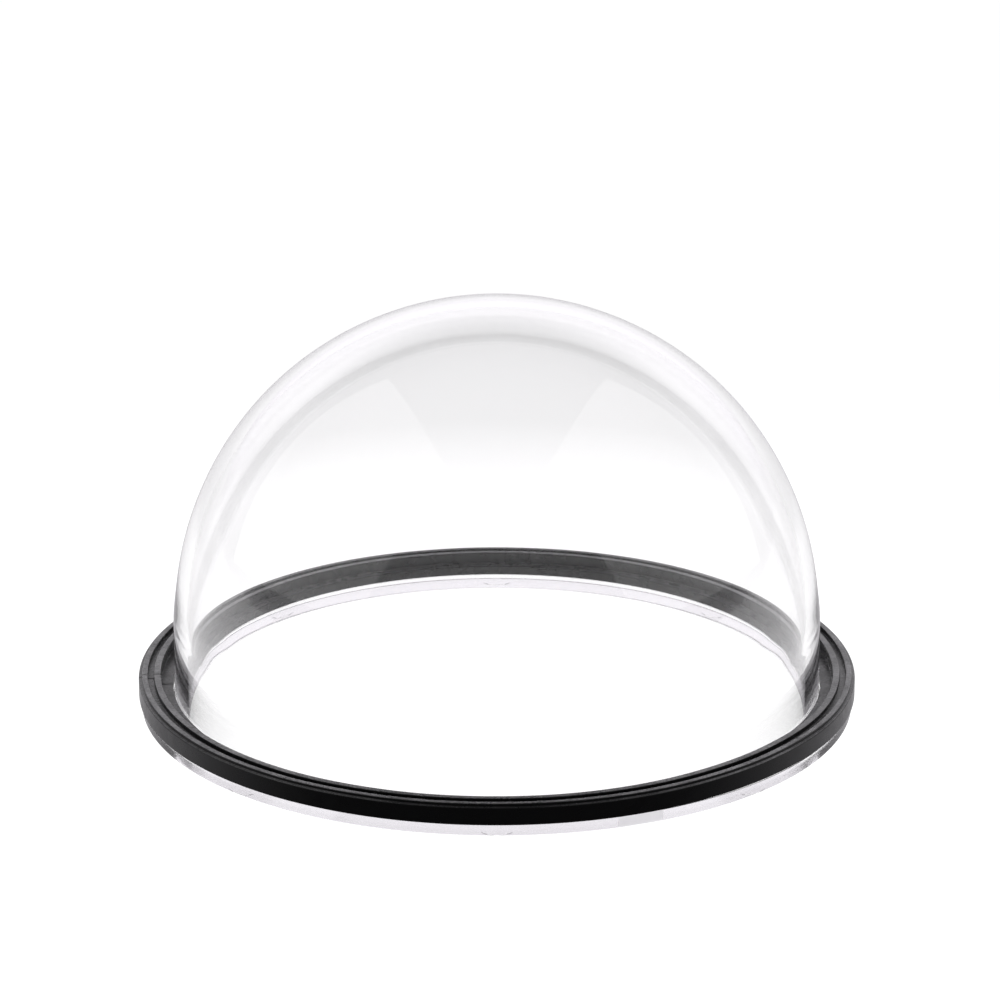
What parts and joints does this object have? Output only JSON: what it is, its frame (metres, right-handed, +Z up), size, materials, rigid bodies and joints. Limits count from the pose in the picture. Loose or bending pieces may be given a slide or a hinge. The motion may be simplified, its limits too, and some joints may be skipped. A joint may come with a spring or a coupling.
{
  "type": "clear dome cover",
  "caption": "Clear rigid hemispherical cover on a short skirt with a flat clear flange, sealed by a black ribbed rubber ring that lies on the flange.",
  "frame": {"origin": "centre of the flange underside, on the dome's axis", "axes": "+Z up the dome's axis towards its crown, -Y the front, where one ejector mark lies; the gate flat is between -Y and +X"},
  "size_m": [0.152, 0.152, 0.0864],
  "materials": {
    "clear_dome": "polished clear acrylic",
    "black_rubber": "satin moulded rubber"
  },
  "bodies": {
    "dome": {"dome": "clear_dome"},
    "seal_ring": {"seal_ring": "black_rubber"}
  },
  "joints": [
    {"name": "seal_lift", "type": "slide", "parent": "dome", "child": "seal_ring", "axis": [0, 0, 1], "range_m": [0, 0.09]}
  ]
}
